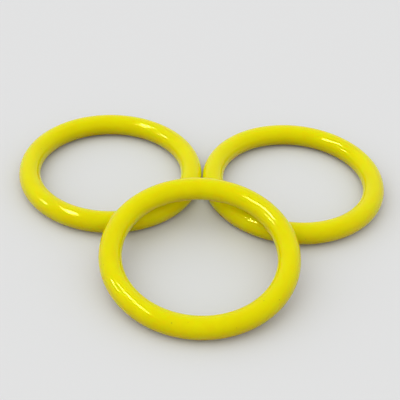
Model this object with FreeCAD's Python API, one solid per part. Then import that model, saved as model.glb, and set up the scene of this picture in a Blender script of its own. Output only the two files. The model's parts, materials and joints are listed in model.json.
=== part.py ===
import FreeCAD, Part
import os

# A set of three identical juggling rings, in millimetres, +Z up.
# Each ring is one solid moulding of gloss plastic with a round section, and holds nothing inside.
# Two rings lie flat, side by side. The third leans on them: its near edge stands on the floor,
# and its far edge rests on both. The origin is on the floor, under the middle of the whole set.

# Driving dimensions
RING_OUTER_DIAMETER = 100.0
TUBE_DIAMETER = 11.7       # the ring's round section
PAIR_GAP = 0.3             # between the two flat rings, where they are nearest
REST_CLEARANCE = 0.3       # between the leaning ring and each flat ring, where it rests
LEAN_OVERLAP = 11.5        # how far the leaning ring reaches in over the flat rings, in plan
LEAN_SIDE_OFFSET = 1.26    # the leaning ring's centre, from the pair's middle line towards +X

# The search for the slope at which the leaning ring rests on both flat rings
SETTLE_STEPS = 60
SETTLE_TOLERANCE = 0.0001

# Worked out from the driving dimensions
TUBE_RADIUS = TUBE_DIAMETER / 2
RING_OUTER_RADIUS = RING_OUTER_DIAMETER / 2
CENTRELINE_RADIUS = RING_OUTER_RADIUS - TUBE_RADIUS
HALF_PAIR_PITCH = RING_OUTER_RADIUS + PAIR_GAP / 2
LEAN_PLAN_DISTANCE = RING_OUTER_DIAMETER - LEAN_OVERLAP
LEAN_FORWARD = (LEAN_PLAN_DISTANCE**2 - HALF_PAIR_PITCH**2) ** 0.5
RESTING_DISTANCE = TUBE_DIAMETER + REST_CLEARANCE

UP = FreeCAD.Vector(0, 0, 1)
BACKWARDS = FreeCAD.Vector(0, 1, 0)


def centreline(centre, axis):
    """The circle that runs along the middle of a ring's tube."""
    return Part.Edge(Part.Circle(centre, axis, CENTRELINE_RADIUS))


def ring(centre, axis):
    """One ring, as a solid."""
    return Part.makeTorus(CENTRELINE_RADIUS, TUBE_RADIUS, centre, axis)


def half_extent(axis, direction):
    """How far a ring with this axis reaches from its centre along a direction."""
    sine = (1 - axis.dot(direction) ** 2) ** 0.5
    return CENTRELINE_RADIUS * sine + TUBE_RADIUS


def leaning_pose(back_slope, left_slope):
    """Centre and axis of the leaning ring, standing on the floor, from how steeply its plane
    rises towards the back and towards the left. The pair's centres lie on y = 0."""
    axis = FreeCAD.Vector(left_slope, -back_slope, 1).normalize()
    centre = FreeCAD.Vector(LEAN_SIDE_OFFSET, -LEAN_FORWARD, half_extent(axis, UP))
    return centre, axis


def settle(left_line, right_line):
    """Tip the leaning ring until its tube clears each flat ring's tube by REST_CLEARANCE."""
    back_slope = 0.0
    left_slope = 0.0
    for step in range(SETTLE_STEPS):
        centre, axis = leaning_pose(back_slope, left_slope)
        leaning_line = centreline(centre, axis)
        left_short = RESTING_DISTANCE - leaning_line.distToShape(left_line)[0]
        right_short = RESTING_DISTANCE - leaning_line.distToShape(right_line)[0]
        if max(abs(left_short), abs(right_short)) < SETTLE_TOLERANCE:
            return centre, axis
        back_slope += (left_short + right_short) / 2 / RING_OUTER_DIAMETER
        left_slope += (left_short - right_short) / RING_OUTER_DIAMETER
    raise RuntimeError("the leaning ring finds no rest on the flat rings")


# The pair, and the ring that leans on it, with the pair's centres on y = 0
left_centre = FreeCAD.Vector(-HALF_PAIR_PITCH, 0, TUBE_RADIUS)
right_centre = FreeCAD.Vector(HALF_PAIR_PITCH, 0, TUBE_RADIUS)
leaning_centre, leaning_axis = settle(centreline(left_centre, UP), centreline(right_centre, UP))

# The move that brings the middle of the whole set over the origin
front_reach = LEAN_FORWARD + half_extent(leaning_axis, BACKWARDS)
to_middle = BACKWARDS * ((front_reach - RING_OUTER_RADIUS) / 2)

placed_rings = {
    "left_ring": (left_centre + to_middle, UP),
    "right_ring": (right_centre + to_middle, UP),
    "front_ring": (leaning_centre + to_middle, leaning_axis),
}

os.makedirs("parts", exist_ok=True)
for name, (centre, axis) in placed_rings.items():
    ring(centre, axis).exportStep(f"parts/{name}.step")
    print(f"{name}: centre {tuple(round(v, 3) for v in centre)}, axis {tuple(round(v, 5) for v in axis)}")
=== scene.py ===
import json
import math

import bpy
import numpy as np
from mathutils import Matrix, Vector


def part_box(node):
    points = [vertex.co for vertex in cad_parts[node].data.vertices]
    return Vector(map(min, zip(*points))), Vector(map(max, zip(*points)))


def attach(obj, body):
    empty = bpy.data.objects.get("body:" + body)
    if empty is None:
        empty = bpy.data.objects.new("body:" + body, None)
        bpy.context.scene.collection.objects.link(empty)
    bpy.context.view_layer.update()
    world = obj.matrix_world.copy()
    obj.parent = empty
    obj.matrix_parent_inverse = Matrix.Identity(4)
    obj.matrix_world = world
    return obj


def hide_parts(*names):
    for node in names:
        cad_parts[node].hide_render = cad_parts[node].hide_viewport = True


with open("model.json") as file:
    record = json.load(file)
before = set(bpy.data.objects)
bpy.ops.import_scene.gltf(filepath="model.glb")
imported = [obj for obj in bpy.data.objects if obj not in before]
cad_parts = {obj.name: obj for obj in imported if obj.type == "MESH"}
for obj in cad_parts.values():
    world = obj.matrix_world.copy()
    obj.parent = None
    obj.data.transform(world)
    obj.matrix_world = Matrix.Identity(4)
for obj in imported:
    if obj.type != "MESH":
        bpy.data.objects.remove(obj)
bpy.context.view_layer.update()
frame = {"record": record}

MM = 0.001

# ---------------------------------------------------------------- measures and colours

# Camera, in metres and degrees. It looks down at the set from the front, and is rolled a little.
CAMERA_TARGET = Vector((-0.0003, 0.0072, 0.012))
CAMERA_DISTANCE = 0.563
CAMERA_ELEVATION = 38.65
CAMERA_ROLL = 3.4
CAMERA_LENS = 96.4             # on a sensor 36 mm wide

# The rings: the CAD node and body that each one stands for, the record's mount that has its centre and
# axis, and where around the ring its gate mark is, in degrees
RINGS = [
    {"node": "left_ring", "body": "left", "mount": "hand_hole_left", "gate": 118.0, "seed": 3},
    {"node": "right_ring", "body": "right", "mount": "hand_hole_right", "gate": 47.0, "seed": 8},
    {"node": "front_ring", "body": "front", "mount": "hand_hole_front", "gate": 262.0, "seed": 5},
]

# Moulding detail, in metres
SKIN_ALLOWANCE = 0.05 * MM     # the plain tube lies this far under the CAD surface, to leave room for detail
PARTING_HEIGHT = 0.035 * MM    # the fine line where the mould's halves met, inside and outside
PARTING_WIDTH = 0.11 * MM
GATE_RADIUS = 1.1 * MM         # the trimmed spot where the plastic entered
GATE_EDGE = 0.25               # the share of that radius over which the spot slopes down
GATE_DEPTH = 0.06 * MM
WAVE_HEIGHT = 0.008 * MM       # slow unevenness of a thick moulding
WAVE_COUNT = 5
PARTING_ANGLES = (0.0, math.pi)    # round the tube: the outermost and the innermost circle

# Mesh density: even steps along the ring and round its tube, and closer ones beside the detail, in degrees
MAJOR_STEPS = 432
MINOR_STEPS = 72
BESIDE_GATE = (0.25, 0.5, 0.75, 1.0, 1.25, 1.5, 1.75, 2.0, 2.25)
BESIDE_PARTING = (0.6, 1.2, 1.8, 2.6, 3.6)

# Plastic. Colours are linear, and a pattern's scale is in repeats per metre.
YELLOW = (0.825, 0.795, 0.001, 1)
YELLOW_DEEP = (0.80, 0.75, 0.001, 1)
SWIRL_SCALE = 38.0
YELLOW_HAZE = (0.86, 0.80, 0.02, 1)
HAZE_SCALE = 210.0
HAZE_MOST = 0.06
MARK_COLOUR = (0.30, 0.26, 0.03, 1)
MARK_SCALE = 400.0             # cells, of which only a few hold a mark
MARK_SHARE = 0.05
MARK_SIZE = (0.07, 0.16)       # in cells
MARK_STRENGTH = 0.4
PLASTIC_LOOK = {
    "IOR": 1.5,
    "Specular IOR Level": 0.30,
    "Specular Tint": (1.0, 0.97, 0.12, 1),
    "Subsurface Weight": 0.8,  # how much of the light travels under the surface
    "Subsurface Radius": (1.0, 0.35, 0.02),
    "Subsurface Scale": 4.0 * MM,
}

# Gloss and wear: roughness on the shader's scale, and bumps as shares of the deepest one
FILM_SCALE = 55.0
FILM_ROUGHNESS = (0.03, 0.055)
WORN_BAND = (0.80, 1.0)        # facing_out, from where the wear begins to where it is full
WORN_SCALE = 90.0
WORN_ROUGHNESS = 0.12
GRAIN_SCALE = 1500.0
GRAIN_HEIGHT = 0.6
HAIRLINE_SCALE = 70.0
HAIRLINE_STRETCH = 55.0        # how much finer they are across than along
HAIRLINE_TURNS = ((0.3, 0.2, 0.1), (1.1, 0.7, 2.0), (2.2, 1.4, 0.9))
HAIRLINE_DEPTH = 0.02
DEEPEST_BUMP = 0.02 * MM
BUMP_STRENGTH = 0.5

# Light and backdrop, as linear colours
DOME_TOP = (0.80, 0.81, 0.82, 1)
DOME_HORIZON = (0.94, 0.77, 0.50, 1)
KEY_COLOUR = (1.35, 1.35, 1.32, 1)
KEY_DIRECTION = Vector((-0.60, -0.10, 0.80)).normalized()
KEY_EDGE = 0.55                # the cosine from the key's direction at which it has faded out
DOME_TOP_HEIGHT = 0.6          # the sine of the height from which the dome has its top colour
BACKDROP_COLOUR = (0.757, 0.757, 0.755, 1)
FLOOR_COLOUR = (0.775, 0.787, 0.815, 1)
FLOOR_BOUNCE = (0.21, 0.13, 0.04, 1)
FLOOR_SIZE = 8.0

# Long narrow lamps to the left that only leave highlights in the gloss: direction, size in metres, radiance
STRIP_DISTANCE = 1.5
STRIP_LINE = Vector((0.20, 1, 0))
STRIPS = {
    "high_strip": (Vector((-0.455, -0.06, 0.89)), (0.80, 0.24), 56.0),
    "middle_strip": (Vector((-0.81, -0.02, 0.58)), (0.38, 0.09), 72.0),
}


# ---------------------------------------------------------------- ring mesh

def smooth_step(x):
    x = np.clip(x, 0.0, 1.0)
    return x * x * (3 - 2 * x)


def signed_angle(angle):
    """The same angle between -pi and pi."""
    return np.angle(np.exp(1j * angle))


def with_extra(count, centres, offsets):
    """Even angles around a circle, with more of them close to each centre."""
    even = np.arange(count) * 2 * math.pi / count
    extra = [centre + side * math.radians(o) for centre in centres for o in offsets for side in (-1, 1)]
    return np.unique(np.round(np.mod(np.concatenate([even, extra]), 2 * math.pi), 6))


def surface_radius(a, b, ring_radius, tube_radius, gate_angle, seed):
    """The tube's radius at angle a along the ring and angle b round the tube, with the moulding's detail."""
    draw = np.random.default_rng(seed)
    radius = np.full(a.shape, tube_radius - SKIN_ALLOWANCE)
    for line in PARTING_ANGLES:
        from_line = tube_radius * signed_angle(b - line)
        radius += PARTING_HEIGHT * np.exp(-((from_line / PARTING_WIDTH) ** 2))
    for wave in range(WAVE_COUNT):
        turns = draw.integers(3, 17)
        twist = draw.integers(-2, 3)
        phase = draw.uniform(0, 2 * math.pi)
        radius += WAVE_HEIGHT / WAVE_COUNT * np.cos(turns * a + twist * b + phase)
    gate_along = (ring_radius - tube_radius) * signed_angle(a - gate_angle)
    gate_across = tube_radius * signed_angle(b - math.pi)
    from_gate = np.hypot(gate_along, gate_across) / GATE_RADIUS
    radius -= GATE_DEPTH * smooth_step((1 + GATE_EDGE - from_gate) / (2 * GATE_EDGE))
    return radius


def ring_object(name, centre, axis, ring_radius, tube_radius, gate_angle, seed):
    """A closed quad mesh of one ring, as an object."""
    major = with_extra(MAJOR_STEPS, [gate_angle], BESIDE_GATE)
    minor = with_extra(MINOR_STEPS, PARTING_ANGLES, BESIDE_PARTING)
    a, b = np.meshgrid(major, minor, indexing="ij")
    radius = surface_radius(a, b, ring_radius, tube_radius, gate_angle, seed)

    across = Vector((0, 1, 0)).cross(axis).normalized()
    onward = axis.cross(across)
    outward = np.cos(a)[..., None] * np.array(across) + np.sin(a)[..., None] * np.array(onward)
    reach = ring_radius + radius * np.cos(b)
    height = radius * np.sin(b)
    points = np.array(centre) + reach[..., None] * outward + height[..., None] * np.array(axis)

    m, n = a.shape
    i, j = np.meshgrid(np.arange(m), np.arange(n), indexing="ij")
    next_i = (i + 1) % m
    next_j = (j + 1) % n
    faces = np.stack([i * n + j, next_i * n + j, next_i * n + next_j, i * n + next_j], -1)
    mesh = bpy.data.meshes.new(name)
    mesh.from_pydata(points.reshape(-1, 3).tolist(), [], faces.reshape(-1, 4).tolist())
    mesh.shade_smooth()
    mesh.update()
    # 1 on the outermost circle and -1 on the innermost, for the wear in the material
    facing_out = mesh.attributes.new("facing_out", "FLOAT", "POINT")
    facing_out.data.foreach_set("value", np.cos(b).astype(np.float32).ravel())
    ring = bpy.data.objects.new(name, mesh)
    bpy.context.scene.collection.objects.link(ring)
    return ring


# ---------------------------------------------------------------- materials

class Nodes:
    """A short way to write a node tree. A value is a number, a colour or another node's output.

    Only a material's tree has a shader.
    """

    def __init__(self, tree):
        self.tree = tree
        self.shader = tree.nodes.get("Principled BSDF")

    def put(self, value, socket):
        if isinstance(value, bpy.types.NodeSocket):
            self.tree.links.new(value, socket)
        else:
            socket.default_value = value

    def add(self, kind, inputs=(), **settings):
        node = self.tree.nodes.new(kind)
        for key, value in settings.items():
            setattr(node, key, value)
        for key, value in dict(inputs).items():
            self.put(value, node.inputs[key])
        return node

    def math(self, operation, first, second):
        return self.add("ShaderNodeMath", {0: first, 1: second}, operation=operation).outputs[0]

    def noise(self, vector, scale, detail=2.0, rough=0.5, distortion=0.0):
        inputs = {
            "Vector": vector,
            "Scale": scale,
            "Detail": detail,
            "Roughness": rough,
            "Distortion": distortion,
        }
        return self.add("ShaderNodeTexNoise", inputs).outputs["Fac"]

    def spread(self, value, low, high, to_low=0.0, to_high=1.0):
        """The value moved from one range to another, and kept inside it."""
        inputs = {"Value": value, "From Min": low, "From Max": high, "To Min": to_low, "To Max": to_high}
        return self.add("ShaderNodeMapRange", inputs, clamp=True).outputs["Result"]

    def mix(self, factor, first, second):
        node = self.add("ShaderNodeMix", data_type="RGBA")
        for value, socket in ((factor, 0), (first, 6), (second, 7)):
            self.put(value, node.inputs[socket])
        return node.outputs[2]

    def seen(self):
        """1 for what is seen, directly, in gloss or through glass, and 0 for what lights the object."""
        path = self.add("ShaderNodeLightPath").outputs
        direct = self.math("MAXIMUM", path["Is Camera Ray"], path["Is Glossy Ray"])
        return self.math("MAXIMUM", direct, path["Is Transmission Ray"])


def new_material(name):
    material = bpy.data.materials.new(name)
    material.use_nodes = True
    return material, Nodes(material.node_tree)


def plastic_colour(m, place):
    """Pigment a touch deeper in slow swirls, a faint haze, and a few tiny marks picked up in use."""
    swirl = m.spread(m.noise(place, SWIRL_SCALE, detail=3.0, rough=0.55, distortion=1.6), 0.35, 0.68)
    haze = m.spread(m.noise(place, HAZE_SCALE, rough=0.6), 0.55, 0.75, 0.0, HAZE_MOST)
    colour = m.mix(haze, m.mix(swirl, YELLOW, YELLOW_DEEP), YELLOW_HAZE)
    cells = m.add("ShaderNodeTexVoronoi", {"Vector": place, "Scale": MARK_SCALE}).outputs
    chance = m.add("ShaderNodeSeparateColor", {"Color": cells["Color"]}).outputs
    size = m.spread(chance["Green"], 0.0, 1.0, *MARK_SIZE)
    inside = m.math("LESS_THAN", cells["Distance"], size)
    mark = m.math("MULTIPLY", inside, m.math("LESS_THAN", chance["Red"], MARK_SHARE))
    return m.mix(m.math("MULTIPLY", mark, MARK_STRENGTH), colour, MARK_COLOUR)


def hairlines(m, place):
    """Very fine straight scratches in three directions."""
    total = 0.0
    for turn in HAIRLINE_TURNS:
        scale = (1.0, HAIRLINE_STRETCH, HAIRLINE_STRETCH)
        inputs = {"Vector": place, "Rotation": turn, "Scale": scale}
        stretched = m.add("ShaderNodeMapping", inputs).outputs["Vector"]
        lines = m.noise(stretched, HAIRLINE_SCALE, detail=1.0, rough=0.4)
        total = m.math("ADD", m.spread(lines, 0.70, 0.78), total)
    return total


def ring_plastic(name):
    """Glossy, saturated yellow moulded plastic, a little translucent, with light wear from handling."""
    material, m = new_material(name)
    place = m.add("ShaderNodeTexCoord").outputs["Object"]
    m.put(plastic_colour(m, place), m.shader.inputs["Base Color"])

    # The outer band of a ring knocks against the others and rolls on tables, so it is duller in patches
    facing_out = m.add("ShaderNodeAttribute", attribute_name="facing_out").outputs["Fac"]
    patches = m.spread(m.noise(place, WORN_SCALE, detail=4.0, rough=0.65), 0.46, 0.66)
    worn = m.math("MULTIPLY", m.spread(facing_out, *WORN_BAND), patches)
    uneven = m.noise(place, FILM_SCALE, detail=3.0, rough=0.6, distortion=0.8)
    film = m.spread(uneven, 0.40, 0.72, *FILM_ROUGHNESS)
    m.put(m.math("ADD", film, m.math("MULTIPLY", worn, WORN_ROUGHNESS)), m.shader.inputs["Roughness"])

    grain = m.math("MULTIPLY", m.noise(place, GRAIN_SCALE, rough=0.6), worn)
    depth = m.math("MULTIPLY", hairlines(m, place), -HAIRLINE_DEPTH)
    height = m.math("ADD", depth, m.math("MULTIPLY", grain, GRAIN_HEIGHT))
    inputs = {"Height": height, "Strength": BUMP_STRENGTH, "Distance": DEEPEST_BUMP}
    bump = m.add("ShaderNodeBump", inputs)
    m.put(bump.outputs["Normal"], m.shader.inputs["Normal"])

    for socket, value in PLASTIC_LOOK.items():
        m.shader.inputs[socket].default_value = value
    return material


def floor_paint():
    """Plain pale floor. The light that it throws back onto the object is that of a darker table."""
    material, m = new_material("pale_floor")
    m.put(m.mix(m.seen(), FLOOR_BOUNCE, FLOOR_COLOUR), m.shader.inputs["Base Color"])
    m.shader.inputs["Roughness"].default_value = 0.8
    m.shader.inputs["Specular IOR Level"].default_value = 0.0
    return material


# ---------------------------------------------------------------- the set

mounts = {mount["name"]: mount for mount in frame["record"]["mounts"]}
low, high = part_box("left_ring")
tube_radius = (high.z - low.z) / 2
ring_radius = (high.x - low.x) / 2 - tube_radius
for ring in RINGS:
    mount = mounts[ring["mount"]]
    piece = ring_object(
        ring["node"] + "_moulding",
        Vector(mount["pos_m"]),
        Vector(mount["axis"]).normalized(),
        ring_radius,
        tube_radius,
        math.radians(ring["gate"]),
        ring["seed"],
    )
    piece.data.materials.append(ring_plastic("yellow_plastic_" + ring["body"]))
    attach(piece, ring["body"])
    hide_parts(ring["node"])


# ---------------------------------------------------------------- floor, light and camera

def facing(direction, side_like):
    """The rotation whose Z is the direction, and whose X is as near as can be to the other vector."""
    back = direction.normalized()
    side = (side_like - back * side_like.dot(back)).normalized()
    return Matrix((side, back.cross(side), back)).transposed().to_4x4()


def add_floor():
    bpy.ops.mesh.primitive_plane_add(size=FLOOR_SIZE, location=(0, 0, 0))
    floor = bpy.context.object
    floor.name = "floor"
    floor.data.materials.append(floor_paint())


def add_dome():
    """An even soft dome of light, a little warmer towards the horizon and brighter on one side.

    What is seen in its place is a plain backdrop, as pale as the floor.
    """
    world = bpy.data.worlds.new("studio")
    bpy.context.scene.world = world
    world.use_nodes = True
    m = Nodes(world.node_tree)
    direction = m.add("ShaderNodeTexCoord").outputs["Generated"]
    height = m.add("ShaderNodeSeparateXYZ", {"Vector": direction}).outputs["Z"]
    dome = m.mix(m.spread(height, 0.0, DOME_TOP_HEIGHT), DOME_HORIZON, DOME_TOP)
    towards_key = {0: direction, 1: KEY_DIRECTION}
    nearness = m.add("ShaderNodeVectorMath", towards_key, operation="DOT_PRODUCT").outputs["Value"]
    dome = m.mix(m.spread(nearness, KEY_EDGE, 1.0), dome, KEY_COLOUR)
    background = world.node_tree.nodes["Background"]
    m.put(m.mix(m.seen(), dome, BACKDROP_COLOUR), background.inputs["Color"])


def add_strip(name, direction, size, radiance):
    lamp = bpy.data.lights.new(name, "AREA")
    lamp.shape = "RECTANGLE"
    lamp.size, lamp.size_y = size
    lamp.energy = radiance * math.pi * size[0] * size[1]
    light = bpy.data.objects.new(name, lamp)
    bpy.context.scene.collection.objects.link(light)
    place = direction.normalized() * STRIP_DISTANCE
    light.matrix_world = Matrix.Translation(place) @ facing(direction, STRIP_LINE)
    light.visible_diffuse = False


def add_camera():
    data = bpy.data.cameras.new("camera")
    data.sensor_width = 36.0
    data.lens = CAMERA_LENS
    data.clip_start = 0.01
    camera = bpy.data.objects.new("camera", data)
    bpy.context.scene.collection.objects.link(camera)
    bpy.context.scene.camera = camera
    elevation = math.radians(CAMERA_ELEVATION)
    roll = math.radians(CAMERA_ROLL)
    towards_camera = Vector((0, -math.cos(elevation), math.sin(elevation)))
    level_up = Vector((0, math.sin(elevation), math.cos(elevation)))
    right = math.cos(roll) * Vector((1, 0, 0)) + math.sin(roll) * level_up
    place = CAMERA_TARGET + towards_camera * CAMERA_DISTANCE
    camera.matrix_world = Matrix.Translation(place) @ facing(towards_camera, right)


add_floor()
add_dome()
for name, (direction, size, radiance) in STRIPS.items():
    add_strip(name, direction, size, radiance)
add_camera()
bpy.context.scene.view_settings.view_transform = "Standard"
